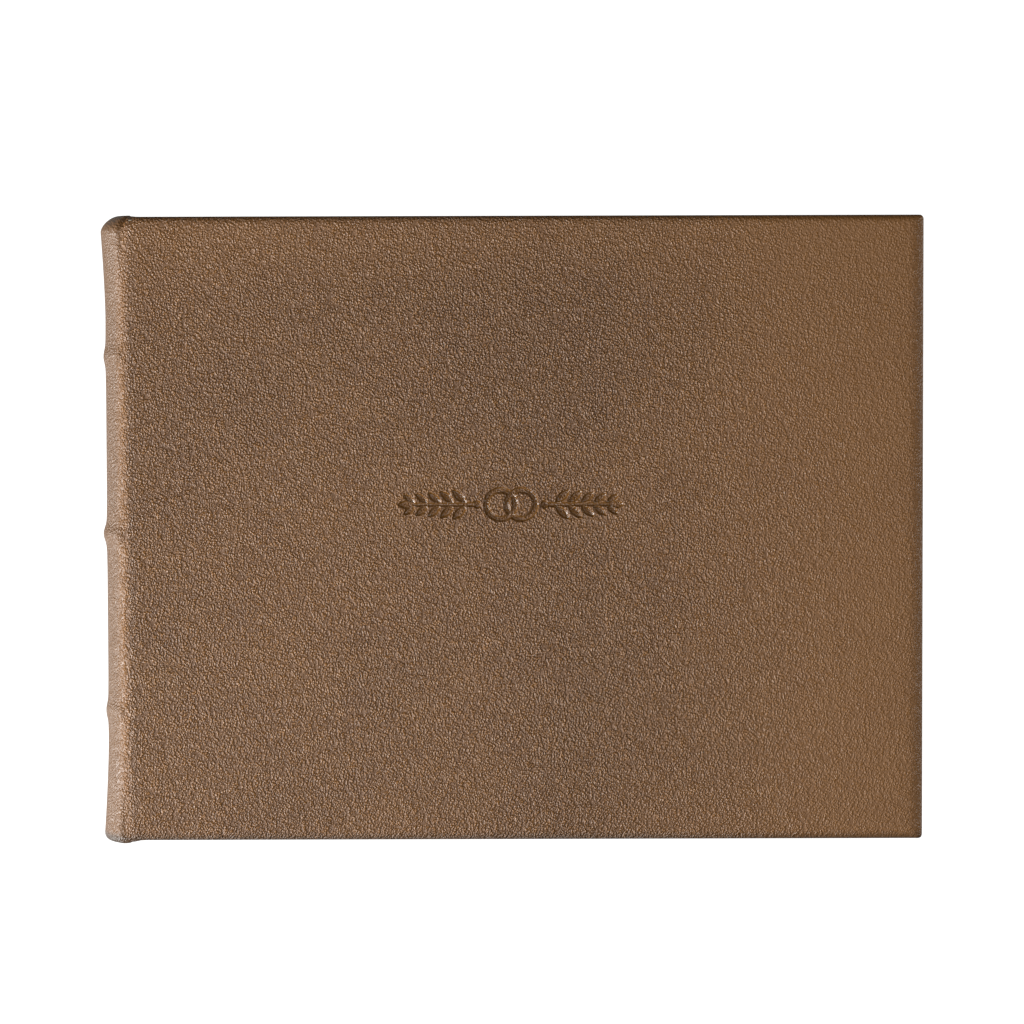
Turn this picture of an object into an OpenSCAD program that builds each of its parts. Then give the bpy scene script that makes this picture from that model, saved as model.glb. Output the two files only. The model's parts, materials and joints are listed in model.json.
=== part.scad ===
// Guest book: landscape, case-bound in leather, with a rounded back and three raised bands.
// It lies closed on its back cover, on the plane z = 0.
// X runs from the spine to the fore edge, Y from tail to head, Z up through the book.
// The frame's origin is under the middle of the book.

/* [Covers] */
// Width of a cover, from its hinge line to the fore edge
cover_w = 225.7; // [160:0.1:300]
// Height of a cover, from tail to head
cover_h = 178; // [170:1:240]
// Thickness of a board
board_t = 2.4; // [2:0.1:3]
// Thickness of the leather
leather_t = 0.9; // [0.7:0.05:1.1]
// Thickness of the leather where it is pared and turned in
turn_in_t = 0.4; // [0.3:0.05:0.5]
// Width of the turned-in leather
turn_in_w = 15; // [10:1:20]
// Radius of a cover's two corners at the fore edge
corner_r = 1.4; // [1.1:0.1:4]

/* [Paper] */
// Thickness of one leaf
leaf_t = 0.16; // [0.14:0.01:0.18]
// Leaves in a full signature, which is this many over two folded sheets
leaves_per_signature = 8; // [8:2:10]
// How far the covers stand out past the leaves
square_w = 3; // [2:0.5:5]
// Thickness of the paper pasted inside a cover
pastedown_t = 0.15; // [0.1:0.05:0.2]

/* [Spine] */
// How far the rounded back stands out from the hinge line
back_round = 7.7; // [7.2:0.1:8.2]
// Radius of the leather over each shoulder
shoulder_r = 4.5; // [4:0.1:5]
// Thickness of the card that stiffens the back
stiffener_t = 0.6; // [0.4:0.05:0.7]
// Width of a raised band
band_w = 5; // [4:0.5:8]
// How far a raised band lifts the leather
band_rise = 0.7; // [0.4:0.1:1.2]
// Distance from one raised band to the next
band_pitch = 50.8; // [35:0.1:55]
// Height of the middle band above the middle of the back
band_shift = -1.5; // [-4:0.5:4]

/* [Caps] */
// How far the cap at the head flares past the back
head_flare = 1.2; // [0.8:0.1:1.6]
// Height over which the head cap's flare turns over
head_turn = 4.6; // [4:0.1:5]
// How far the cap at the tail flares past the back
tail_flare = 1.3; // [0.8:0.1:1.6]
// Height over which the tail cap's flare turns over
tail_turn = 1.6; // [1.4:0.1:3]
// How far both caps stand past the covers' edges
cap_proud = 0.4; // [0.1:0.05:0.6]

/* [Hidden] */
$fn = 96;
loose_leaves = 4;       // the first leaves of the first signature, which turn on their own
signatures = 12;
leaf_gap = 0.02;        // air between loose leaves
hinge_gap = 0.15;       // between a cover's inner edge and its hinge line
pitch = leaf_t + leaf_gap;
signature_t = leaves_per_signature * leaf_t;
cover_t = leather_t + board_t + turn_in_t + pastedown_t;
loose_t = leaf_gap + (1 + loose_leaves) * pitch;
block_t = signatures * signature_t - loose_leaves * leaf_t;
book_t = 2 * cover_t + loose_t + block_t + pitch + leaf_gap;
mid_z = book_t / 2;

// Plan of the book
cap_reach = back_round + max(head_flare, tail_flare);
fore_x = (cover_w + cap_reach) / 2;
hinge_x = fore_x - cover_w;
cover_x = hinge_x + hinge_gap;
leaf_x = hinge_x + 0.2;
leaf_y = cover_h / 2 - square_w;
wall_x = hinge_x - 0.1;

// The back in section: a wide arc between two shoulder arcs that meet the covers flat
half_rise = mid_z - shoulder_r;
back_r = (pow(half_rise, 2) + pow(back_round, 2) - pow(shoulder_r, 2)) / (2 * (back_round - shoulder_r));
back_x = hinge_x - back_round + back_r;
back_a = atan2(half_rise, back_x - hinge_x);

// Thickness of each layer of the back, and its depth under the outer face of the leather
hollow_t = 0.2;
lining_t = 0.35;
mull_t = 0.25;
stitch_t = 0.35;
tape_t = 0.28;
glue_gap = 0.02;
stiffener_d = leather_t + 0.06;
lining_d = stiffener_d + stiffener_t + hollow_t;
mull_d = lining_d + lining_t;
thread_d = mull_d + mull_t;
tape_d = thread_d + stitch_t;
fold_d = tape_d + tape_t + glue_gap;
lining_y = cover_h / 2 - 7;
stiffener_y = cover_h / 2 - 5.9;
mull_y = cover_h / 2 - 10;
tape_w = 12;
thread_r = 0.15;
kettle_y = cover_h / 2 - 13;
fold_r = back_r - fold_d;
fold_nose = 0.4;
fan_z = mid_z - shoulder_r + 1.05; // the folds fan out to this far above and below the middle
shoulder_z = fan_z + 0.15;

// Caps and endbands
cap_cord_r = 0.8;
cap_cord_a = 32;
cap_clear = 0.25;
cap_cord_in = 1.8;      // least distance of a cap's cord from the covers' edges
cap_swell_y = max(cover_h / 2 - 30, band_pitch + abs(band_shift) + band_w + 2 * leather_t + 0.5);
cap_swell_power = 1.5;
cap_depth = 3.4;
endband_r = 1;
endband_a = 34;
endband_in = 0.7;       // from the folds to the middle of an endband
cap_steps = 4;

LEATHER = [0.47, 0.36, 0.27];
BOARD = [0.62, 0.58, 0.52];
PAPER = [0.95, 0.92, 0.84];
CLOTH = [0.88, 0.86, 0.8];
SILK = [0.72, 0.6, 0.42];

function two_digits(i) = str(i < 10 ? "0" : "", i);
function smooth(t) = t * t * (3 - 2 * t);
function band_y(i) = band_shift + (2 - i) * band_pitch;

// Height of the line between signatures j and j + 1, in the block and at the folds
function block_z(j) = book_t - cover_t - loose_t - (j == 0 ? 0 : j * signature_t - loose_leaves * leaf_t);
function fan(j) = fan_z * (1 - 2 * j / signatures);
function fold_x(r, dz) = back_x - sqrt(r * r - dz * dz);
leaf_w = fore_x - square_w - fold_x(fold_r, fan(0.5));

COVER_NODES = ["cover_leather", "board", "infill", "pastedown"];

// Extrudes an X-Z section along Y, from y0 to y1
module along_y(y0, y1) {
    translate([0, y1, 0]) rotate([90, 0, 0]) linear_extrude(y1 - y0) children();
}

// Extrudes an X-Y plan upwards, from z0 to z1
module slab(z0, z1) {
    translate([0, 0, z0]) linear_extrude(z1 - z0) children();
}

// Turns a profile of radius and height about an axis along Y, over half_angle each side of -X
module around_y(axis_x, half_angle) {
    translate([axis_x, 0, mid_z])
        rotate([-90, 0, 0])
            rotate([0, 0, 180 - half_angle])
                rotate_extrude(angle = 2 * half_angle) children();
}

// Turns what is drawn for the front cover over to the back cover
module to_back() {
    translate([0, 0, book_t]) mirror([0, 0, 1]) children();
}

// Plan of a cover, drawn in by inset on the three free sides
module cover_plan(inset, x0 = cover_x) {
    r = corner_r - inset;
    x1 = fore_x - inset;
    y1 = cover_h / 2 - inset;
    translate([x0, -y1]) square([x1 - r - x0, 2 * y1]);
    translate([x0, r - y1]) square([x1 - x0, 2 * (y1 - r)]);
    for (s = [-1, 1]) translate([x1 - r, s * (y1 - r)]) circle(r);
}

// Plan of the area that the turned-in leather leaves bare
module infill_plan(x0 = cover_x) {
    y1 = cover_h / 2 - turn_in_w;
    translate([x0, -y1]) square([fore_x - turn_in_w - x0, 2 * y1]);
}

// Leather over the board, round its three free edges and turned in behind it
module cover_leather() {
    board_top = book_t - leather_t;
    board_bottom = board_top - board_t;
    open_x = cover_x - 1;
    color(LEATHER) difference() {
        slab(board_bottom - turn_in_t, book_t) cover_plan(0);
        slab(board_bottom, board_top) cover_plan(leather_t, open_x);
        slab(board_bottom - turn_in_t - 1, board_bottom + 0.1) infill_plan(open_x);
    }
}

module board() {
    z = book_t - leather_t;
    color(BOARD) slab(z - board_t, z) cover_plan(leather_t);
}

// Card that levels the board between the turned-in leather
module infill() {
    z = book_t - leather_t - board_t;
    color(BOARD) slab(z - turn_in_t, z) infill_plan();
}

module pastedown() {
    z = book_t - cover_t;
    color(PAPER) slab(z, z + pastedown_t)
        translate([cover_x, -leaf_y]) square([fore_x - square_w - cover_x, 2 * leaf_y]);
}

// Sector of the wide arc of the back
module back_pie(r, half_angle = back_a) {
    far = 3 * back_r;
    intersection() {
        translate([back_x, mid_z]) circle(r);
        polygon([[back_x, mid_z],
                 [back_x - far, mid_z + far * tan(half_angle)],
                 [back_x - far, mid_z - far * tan(half_angle)]]);
    }
}

module back_ring(r1, r2, half_angle = back_a) {
    difference() {
        back_pie(r2, half_angle);
        translate([back_x, mid_z]) circle(r1);
    }
}

// Section of the back at a depth under the leather's outer face, left of x1
module back_section(depth, x1 = hinge_x) {
    intersection() {
        union() {
            back_pie(back_r - depth);
            for (z = [shoulder_r, book_t - shoulder_r])
                translate([hinge_x, z]) circle(shoulder_r - depth);
        }
        translate([hinge_x - 2 * back_round, 0]) square([x1 - hinge_x + 2 * back_round, book_t]);
    }
}

// One layer of the back, between two depths
module back_layer(d1, d2, x1 = wall_x) {
    difference() {
        back_section(d1, x1);
        back_section(d2, x1 + 1);
    }
}

// Stations along the back, each [y, how far the leather stands out, how far it is raised]:
// a cap turns over outside its peak, and swells from the plain back inside it
function cap_turned(flare, turn, thick) = [for (i = [cap_steps:-1:1]) let(a = 90 * i / cap_steps)
    [cap_peak(turn) + (turn - thick) * sin(a), flare - (cap_depth - thick) * (1 - cos(a)), 0]];
function cap_swell(flare, turn) = [for (i = [cap_steps:-1:0]) let(t = i / cap_steps)
    [cap_swell_y + (cap_peak(turn) - cap_swell_y) * t, flare * pow(t, cap_swell_power), 0]];
function cap_peak(turn) = cover_h / 2 + cap_proud - turn;
function cap_cord_y(turn) = min(cap_peak(turn), cover_h / 2 - cap_cord_in);
function band_stations(i) = [for (e = [[1, 0], [0.5, 1], [-0.5, 1], [-1, 0]])
    [band_y(i) + e[0] * (band_w + 2 * leather_t), 0, e[1] * band_rise]];
function tail_end(stations) = [for (i = [len(stations) - 1:-1:0])
    [-stations[i][0], stations[i][1], stations[i][2]]];
function back_stations(thick) = concat(
    cap_turned(head_flare, head_turn, thick), cap_swell(head_flare, head_turn),
    [for (i = [1:3]) each band_stations(i)],
    tail_end(concat(cap_turned(tail_flare, tail_turn, thick), cap_swell(tail_flare, tail_turn)))
);

// A point of the leather over the back, where its outward normal is at angle a above -X
function back_point(a, depth, station) = let(
    on_back = abs(a) < back_a,
    centre = on_back ? [back_x, 0] : [hinge_x, sign(a) * half_rise],
    fade = pow(smooth(min(1, (90 - abs(a)) / (90 - back_a))), 3),
    r = (on_back ? back_r : shoulder_r) - depth + fade * (station[1] + station[2])
) [centre[0] - r * cos(a), station[0], mid_z + centre[1] + r * sin(a)];

// Leather over the back, raised over the bands and formed into a cap at each end
module spine_leather() {
    across = 20;
    edge_a = 89.3;
    angles = [for (i = [0:across]) edge_a * (1 - 2 * i / across)];
    outer = back_stations(0);
    inner = back_stations(leather_t);
    n = across + 1;
    m = len(outer);
    last = n * m;
    points = concat([for (s = outer, a = angles) back_point(a, 0, s)],
                    [for (s = inner, a = angles) back_point(a, leather_t, s)]);
    skin = [for (j = [0:m - 2], i = [0:n - 2]) let(p = j * n + i) [p, p + 1, p + n + 1, p + n]];
    lining = [for (f = skin) [f[3] + last, f[2] + last, f[1] + last, f[0] + last]];
    sides = [for (j = [0:m - 2], i = [0, n - 1]) let(p = j * n + i)
        i == 0 ? [p, p + n, p + n + last, p + last] : [p + n, p, p + last, p + n + last]];
    ends = [for (j = [0, m - 1], i = [0:n - 2]) let(p = j * n + i)
        j == 0 ? [p + 1, p, p + last, p + last + 1] : [p, p + 1, p + last + 1, p + last]];
    color(LEATHER) polyhedron(points, concat(skin, lining, sides, ends));
}

module spine_stiffener() {
    color(BOARD) along_y(-stiffener_y, stiffener_y) back_layer(stiffener_d, stiffener_d + stiffener_t);
}

module raised_band(i) {
    r = back_r - stiffener_d;
    color(BOARD) along_y(band_y(i) - band_w / 2, band_y(i) + band_w / 2)
        back_ring(r + glue_gap, r + band_rise - 0.05, back_a - 4);
}

// Cord inside a cap, for the head; the tail's is this one mirrored
module cap_cord(flare, turn) {
    color(CLOTH) around_y(back_x, cap_cord_a)
        translate([back_r + flare - leather_t - cap_cord_r - cap_clear, cap_cord_y(turn)])
            circle(cap_cord_r, $fn = 32);
}

module head_cap_cord() {
    cap_cord(head_flare, head_turn);
}

module tail_cap_cord() {
    mirror([0, 1, 0]) cap_cord(tail_flare, tail_turn);
}

module head_band() {
    color(SILK) around_y(back_x, endband_a)
        translate([fold_r - endband_in, leaf_y + endband_r]) circle(endband_r, $fn = 32);
}

module tail_band() {
    mirror([0, 1, 0]) head_band();
}

// Paper lining of the folds, built up under each shoulder
module spine_lining() {
    color(PAPER) along_y(-lining_y, lining_y) {
        back_layer(lining_d, mull_d);
        for (z = [0, mid_z + shoulder_z]) intersection() {
            back_section(lining_d, wall_x);
            translate([hinge_x - back_round, z]) square([back_round, mid_z - shoulder_z]);
        }
    }
}

// Open cloth glued over the sewn folds
module mull() {
    color(CLOTH) along_y(-mull_y, mull_y) intersection() {
        back_layer(mull_d, thread_d);
        translate([hinge_x - back_round, mid_z - shoulder_z + 0.05])
            square([back_round, 2 * shoulder_z - 0.1]);
    }
}

module sewing_tape(i) {
    color(CLOTH) along_y(band_y(i) - tape_w / 2, band_y(i) + tape_w / 2)
        back_ring(fold_r + glue_gap, fold_r + glue_gap + tape_t, back_a - 2);
}

// A stitch over each tape for every signature, and a row of kettle stitches near head and tail
module sewing_thread() {
    r = back_r - (thread_d + tape_d) / 2;
    stitch = tape_w + 2;
    color(CLOTH) {
        for (i = [1:3], k = [1:signatures]) {
            dz = fan(k - 0.5);
            translate([fold_x(r, dz), band_y(i) + stitch / 2, mid_z + dz])
                rotate([90, 0, 0]) cylinder(r = thread_r, h = stitch, $fn = 24);
        }
        for (s = [-1, 1]) around_y(back_x, back_a - 4)
            translate([r, s * kettle_y]) circle(thread_r, $fn = 24);
    }
}

// A loose sheet whose upper face is at z
module sheet(z) {
    color(PAPER) slab(z - leaf_t, z)
        translate([leaf_x, -leaf_y]) square([fore_x - square_w - leaf_x, 2 * leaf_y]);
}

module front_flyleaf() {
    sheet(book_t - cover_t - leaf_gap);
}

module back_flyleaf() {
    sheet(cover_t + leaf_gap + leaf_t);
}

module guest_leaf(i) {
    sheet(book_t - cover_t - leaf_gap - i * pitch);
}

// Folded sheets sewn as one: flat leaves, and a rounded fold fanned out into the back
module signature(k) {
    fore = leaf_w + fold_x(fold_r, fan(k - 0.5));
    nose = [for (i = [0:6]) let(dz = fan(k - 1 + i / 6), r = fold_r - fold_nose * (1 - sin(30 * i)))
        [fold_x(r, dz), mid_z + dz]];
    color(PAPER) along_y(-leaf_y, leaf_y)
        polygon(concat([[fore, block_z(k)], [fore, block_z(k - 1)], [wall_x, block_z(k - 1)]],
                       nose, [[wall_x, block_z(k)]]));
}

cover_leather();  // front_cover_leather
board();  // front_board
infill();  // front_infill
pastedown();  // front_pastedown
to_back() cover_leather();  // back_cover_leather
to_back() board();  // back_board
to_back() infill();  // back_infill
to_back() pastedown();  // back_pastedown
spine_leather();
spine_stiffener();
for (i = [1:3]) raised_band(i);
head_cap_cord();
tail_cap_cord();
head_band();
tail_band();
spine_lining();
mull();
sewing_thread();
for (i = [1:3]) sewing_tape(i);
front_flyleaf();
back_flyleaf();
for (i = [1:loose_leaves]) guest_leaf(i);
for (k = [1:signatures]) signature(k);
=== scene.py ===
import json
import math
import random

import bmesh
import bpy
import numpy as np
from mathutils import Matrix, Vector


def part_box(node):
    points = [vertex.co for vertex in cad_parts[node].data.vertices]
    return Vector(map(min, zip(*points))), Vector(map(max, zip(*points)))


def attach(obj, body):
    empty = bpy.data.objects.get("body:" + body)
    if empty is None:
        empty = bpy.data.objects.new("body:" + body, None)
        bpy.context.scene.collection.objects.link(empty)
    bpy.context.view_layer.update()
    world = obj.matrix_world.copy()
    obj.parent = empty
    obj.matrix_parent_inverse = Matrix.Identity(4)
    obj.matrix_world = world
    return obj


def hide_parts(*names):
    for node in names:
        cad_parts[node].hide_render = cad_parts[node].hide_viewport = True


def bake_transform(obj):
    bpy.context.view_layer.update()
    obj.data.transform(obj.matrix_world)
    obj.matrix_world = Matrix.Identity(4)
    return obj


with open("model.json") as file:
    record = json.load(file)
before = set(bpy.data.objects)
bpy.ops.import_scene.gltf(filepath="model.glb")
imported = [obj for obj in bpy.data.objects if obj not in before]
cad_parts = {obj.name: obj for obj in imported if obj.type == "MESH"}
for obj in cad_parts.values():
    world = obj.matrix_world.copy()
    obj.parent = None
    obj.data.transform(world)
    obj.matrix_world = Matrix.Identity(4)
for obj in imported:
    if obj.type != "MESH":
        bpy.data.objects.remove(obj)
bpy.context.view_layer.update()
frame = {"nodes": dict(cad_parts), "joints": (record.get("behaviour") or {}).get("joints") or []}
MM = 0.001
rng = random.Random(11)

# Lengths are in mm, except that Blender and the frame take metres. X runs from the spine to the fore edge,
# Y from the tail to the head and Z up through the closed book. Depth is measured inwards from the leather's
# outer face.

# ---------------------------------------------------------------- the frame's own numbers


def mm(v):
    """Metres to millimetres."""
    return np.array(v) / MM


JOINTS = {j["name"]: j for j in frame["joints"]}
FRONT_AXIS = mm(JOINTS["front_cover_hinge"]["pos_m"])
BACK_AXIS = mm(JOINTS["back_cover_hinge"]["pos_m"])
HINGE = FRONT_AXIS[0]
cover_lo, cover_hi = (mm(v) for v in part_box("front_cover_leather"))
_, board_hi = (mm(v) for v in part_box("front_board"))
paste_lo, paste_hi = (mm(v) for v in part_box("front_pastedown"))
_, spine_hi = (mm(v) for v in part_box("spine_leather"))
stiff_lo, _ = (mm(v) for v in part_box("spine_stiffener"))
infill_lo, infill_hi = (mm(v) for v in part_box("front_infill"))
TOP = cover_hi[2]
MID = TOP / 2
FORE = cover_hi[0]
EDGE_Y = cover_hi[1]
SKIN = TOP - board_hi[2]  # the leather's thickness
UNDER = TOP - cover_lo[2]  # depth of the turned-in leather's inner face
TURN_T = infill_hi[2] - infill_lo[2]  # thickness and width of the turned-in leather
TURN_W = FORE - infill_hi[0]
LEAF_X1, LEAF_Y = paste_hi[0], paste_hi[1]  # a leaf's fore edge, and half its height
LEAF_T = 0.16
SIGNATURES = 12
LEAVES = 8  # to a signature
LOOSE = 4  # the first signature's leaves that turn on their own
WALL = HINGE - 0.1  # where the shoulder's inner wall stands

# The back in section: a wide arc between two shoulder arcs, as in the CAD
SHOULDER_R = 4.5
STIFF_DEPTH = 0.96  # of the stiffener's outer face
BACK_ROUND = HINGE - (stiff_lo[0] - STIFF_DEPTH)
HALF_RISE = MID - SHOULDER_R
BACK_R = (HALF_RISE**2 + BACK_ROUND**2 - SHOULDER_R**2) / (2 * (BACK_ROUND - SHOULDER_R))
BACK_X = HINGE - BACK_ROUND + BACK_R
BACK_A = math.degrees(math.atan2(HALF_RISE, BACK_X - HINGE))  # where the arcs meet, in degrees above -X
CAP_Y = spine_hi[1]
# flare: how far a cap stands out of the back; turn and depth: how long and how deep its rounding is;
# power: how square the rounding is; proud: how far it ends past the CAD's cap
HEAD = {"flare": 1.2, "turn": 4.6, "depth": 5.2, "power": 1.65, "proud": 0.0}
TAIL = {"flare": 1.3, "turn": 1.8, "depth": 2.2, "power": 2.2, "proud": 0.4}
SWELL_Y = 59.6  # the back swells towards each cap from here
SWELL_POWER = 1.5
BANDS = [float(sum(mm(v)[1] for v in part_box(f"raised_band_{i}")) / 2) for i in (1, 2, 3)]
BAND_RISE = (0.66, 1.0, 0.66)
FOLD_R = BACK_R - 3.01  # radius of the signatures' folds
FAN_Z = MID - SHOULDER_R + 1.05  # the folds fan out to this far above and below the middle


def clamp(v, lo, hi):
    return min(hi, max(lo, v))


def smooth(t):
    t = clamp(t, 0.0, 1.0)
    return t * t * (3 - 2 * t)


def lerp(a, b, t):
    return a + (b - a) * t


FAR = 1e9


# ---------------------------------------------------------------- meshes


def new_mesh(name, verts, faces, mats, face_mats=None, rest=None):
    """A smooth mesh object. The rest positions are stored for textures that must not slide when it bends."""
    me = bpy.data.meshes.new(name)
    me.from_pydata((np.array(verts, float) * MM).tolist(), [], faces)
    me.validate(clean_customdata=False)
    for m in mats:
        me.materials.append(m)
    if face_mats is not None:
        me.polygons.foreach_set("material_index", face_mats)
    me.polygons.foreach_set("use_smooth", [True] * len(me.polygons))
    if rest is not None:
        stored = me.attributes.new("rest", "FLOAT_VECTOR", "POINT")
        stored.data.foreach_set("vector", np.array(rest, np.float32).ravel())
    me.update()
    ob = bpy.data.objects.new(name, me)
    bpy.context.scene.collection.objects.link(ob)
    return ob


# ---------------------------------------------------------------- material nodes


class Nodes:
    """A small helper for writing a material's nodes."""

    def __init__(self, name):
        self.mat = bpy.data.materials.new(name)
        self.mat.use_nodes = True
        self.tree = self.mat.node_tree
        self.tree.nodes.clear()
        self.out = self.add("ShaderNodeOutputMaterial")
        self.bsdf = self.add("ShaderNodeBsdfPrincipled")
        self.tree.links.new(self.bsdf.outputs[0], self.out.inputs["Surface"])

    def add(self, kind, ins=None, **props):
        n = self.tree.nodes.new(kind)
        for k, v in props.items():
            setattr(n, k, v)
        for k, v in (ins or {}).items():
            self.put(n.inputs[k], v)
        return n

    def put(self, socket, v):
        if isinstance(v, bpy.types.NodeSocket):
            self.tree.links.new(v, socket)
        elif isinstance(v, bpy.types.Node):
            self.tree.links.new(v.outputs[0], socket)
        else:
            socket.default_value = v

    def set(self, **ins):
        for k, v in ins.items():
            self.put(self.bsdf.inputs[k.replace("_", " ")], v)

    def math(self, op, a, b=0.0, c=0.0, limit=False):
        return self.add("ShaderNodeMath", {0: a, 1: b, 2: c}, operation=op, use_clamp=limit).outputs[0]

    def times(self, a, b):
        return self.math("MULTIPLY", a, b)

    def vector(self, op, ins):
        return self.add("ShaderNodeVectorMath", ins, operation=op).outputs[0]

    def remap(self, v, a, b, c, d, kind="LINEAR"):
        """Maps a to b onto c to d, and holds the value beyond either end."""
        ins = {0: v, 1: a, 2: b, 3: c, 4: d}
        return self.add("ShaderNodeMapRange", ins, interpolation_type=kind).outputs[0]

    def mix(self, f, a, b):
        n = self.add("ShaderNodeMix", data_type="RGBA", blend_type="MIX")
        for i, v in ((0, f), (6, a), (7, b)):
            self.put(n.inputs[i], v)
        return n.outputs[2]

    def noise(self, vec, scale, detail=2.0, rough=0.5):
        ins = {"Vector": vec, "Scale": scale, "Detail": detail, "Roughness": rough}
        return self.add("ShaderNodeTexNoise", ins).outputs["Fac"]

    def scaled(self, vec, scale):
        return self.add("ShaderNodeMapping", {"Vector": vec, "Scale": scale}).outputs[0]

    def object_mm(self):
        return self.scaled(self.add("ShaderNodeTexCoord").outputs["Object"], (1000, 1000, 1000))

    def rest_mm(self):
        """Where a point lay before the piece was bent."""
        return self.add("ShaderNodeAttribute", attribute_name="rest").outputs["Vector"]

    def turned(self, vec, degrees, size):
        """Coordinates along and across a direction in the XY plane, counted in lengths of size."""
        ins = {"Vector": vec, "Rotation": (0, 0, math.radians(degrees)), "Scale": size}
        return self.add("ShaderNodeMapping", ins, vector_type="TEXTURE").outputs[0]

    def split(self, vec):
        return self.add("ShaderNodeSeparateXYZ", {0: vec}).outputs

    def bump(self, height, distance, strength=1.0):
        """A normal for a height whose unit is distance, in metres."""
        ins = {"Height": height, "Distance": distance, "Strength": strength}
        return self.add("ShaderNodeBump", ins).outputs[0]


def color(r, g, b):
    return (r, g, b, 1.0)


GRAIN_LEAN = 60  # degrees from +X to the pebbles' long axis
PEBBLE = (0.74, 0.52, 0.62)  # a pebble's length, width and depth
STREAK = (1.6, 0.6, 1.0)
GRAIN_DEPTH = 0.00058


def leather_material(name):
    """Pebbled calf: oblong pebbles that lean to the right, creases between them, uneven dye."""
    n = Nodes(name)
    p = n.rest_mm()
    x, y, _ = n.split(p)
    # a slow wander keeps the pebbles from lining up
    warp = n.add("ShaderNodeTexNoise", {"Vector": p, "Scale": 0.35, "Detail": 2.0, "Roughness": 0.5})
    shift = n.vector("SUBTRACT", {0: warp.outputs["Color"], 1: (0.5, 0.5, 0.5)})
    q = n.vector("ADD", {0: p, 1: n.vector("SCALE", {0: shift, "Scale": 1.1})})
    ins = {"Vector": n.turned(q, GRAIN_LEAN, PEBBLE), "Scale": 1.0, "Smoothness": 0.25, "Randomness": 0.8}
    cells = n.add("ShaderNodeTexVoronoi", ins, feature="SMOOTH_F1", voronoi_dimensions="3D")
    pebble = n.remap(cells.outputs["Distance"], 0.08, 0.66, 1.0, 0.0)
    streak = n.noise(n.turned(q, GRAIN_LEAN, STREAK), 1.0, 1.0, 0.5)
    height = n.math("MULTIPLY_ADD", n.remap(streak, 0.3, 0.7, 0.0, 1.0), 0.35, pebble)
    # the hide is smoother towards the fore edge, over the back, at the head and where the tool pressed it
    calm = n.remap(x, 10.0, 112.0, 1.0, 0.3, "SMOOTHSTEP")
    calm = n.times(calm, n.remap(x, -112.0, -107.0, 0.45, 1.0, "SMOOTHSTEP"))
    calm = n.times(calm, n.remap(y, 60.0, 87.0, 1.0, 0.7, "SMOOTHSTEP"))
    patch = n.remap(n.noise(p, 0.02, 2.0), 0.35, 0.65, 0.85, 1.1)
    burnish_and_shade = n.add("ShaderNodeAttribute", attribute_name="burnish_and_shade").outputs["Fac"]
    untooled = n.math("SUBTRACT", 1.0, n.times(burnish_and_shade, 0.85))
    strength = n.times(n.times(calm, patch), untooled)
    # dye and painted shade: light on the pebbles and dark in the creases, partly dye and partly painted shade
    # in the creases, with two slow clouds
    tone = n.noise(p, 0.012, 3.0, 0.5)
    mottle = n.noise(p, 0.11, 3.0, 0.6)
    f = n.remap(height, 0.25, 1.15, 0.0, 1.0)
    f = n.math("MULTIPLY_ADD", n.math("SUBTRACT", f, 0.55), strength, 0.55, limit=True)
    base = n.mix(f, color(0.117, 0.044, 0.006), color(0.342, 0.1425, 0.023))
    base = n.mix(n.remap(tone, 0.3, 0.7, 0.0, 0.2), base, color(0.192, 0.078, 0.011))
    base = n.mix(n.remap(mottle, 0.35, 0.7, 0.0, 0.12), base, color(0.300, 0.140, 0.030))
    # the back is glossier from being held. Painted shade darkens the back's curve and the tail's edge; the
    # tooled lines are darker partly from the tool and partly as painted shade
    worn = n.remap(x, -109.5, -105.5, 1.0, 0.0, "SMOOTHSTEP")
    # painted shade over the back's curve, where the key light would brighten it, and in the tooled lines,
    # there partly the tool's own darkening
    dark = n.math("MULTIPLY_ADD", burnish_and_shade, 0.55, n.remap(x, -113.0, -109.6, 0.5, 0.0, "SMOOTHSTEP"))
    # painted shade along the tail's rounded edge
    dark = n.math("ADD", dark, n.remap(y, -88.4, -86.4, 0.6, 0.0))
    base = n.mix(dark, base, color(0.055, 0.028, 0.010))
    n.set(Base_Color=base, IOR=1.70, Coat_Weight=n.times(worn, 0.6), Coat_Roughness=0.45)
    rough = n.remap(height, 0.2, 1.3, 0.60, 0.40)
    n.set(Roughness=n.math("MULTIPLY_ADD", burnish_and_shade, -0.42, rough))
    normal = n.bump(n.times(height, strength), GRAIN_DEPTH, 1.0)
    n.set(Normal=normal, Coat_Normal=normal)
    return n.mat


RULE_PITCH = 11.0


def ruled_lines(n, p):
    """1 on the writing lines of a guest leaf and 0 elsewhere."""
    x, y, _ = n.split(p)
    turns = n.math("FRACT", n.math("DIVIDE", n.math("ADD", y, 120.0), RULE_PITCH))
    row = n.math("ABSOLUTE", n.math("SUBTRACT", turns, 0.5))
    line = n.remap(row, 0.012, 0.022, 1.0, 0.0)
    left = n.remap(x, -90.0, -89.6, 0.0, 1.0)
    right = n.remap(x, 98.0, 98.4, 1.0, 0.0)
    high = n.remap(y, 66.0, 66.4, 1.0, 0.0)
    low = n.remap(y, -72.0, -71.6, 0.0, 1.0)
    return n.times(line, n.times(n.times(left, right), n.times(high, low)))


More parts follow.
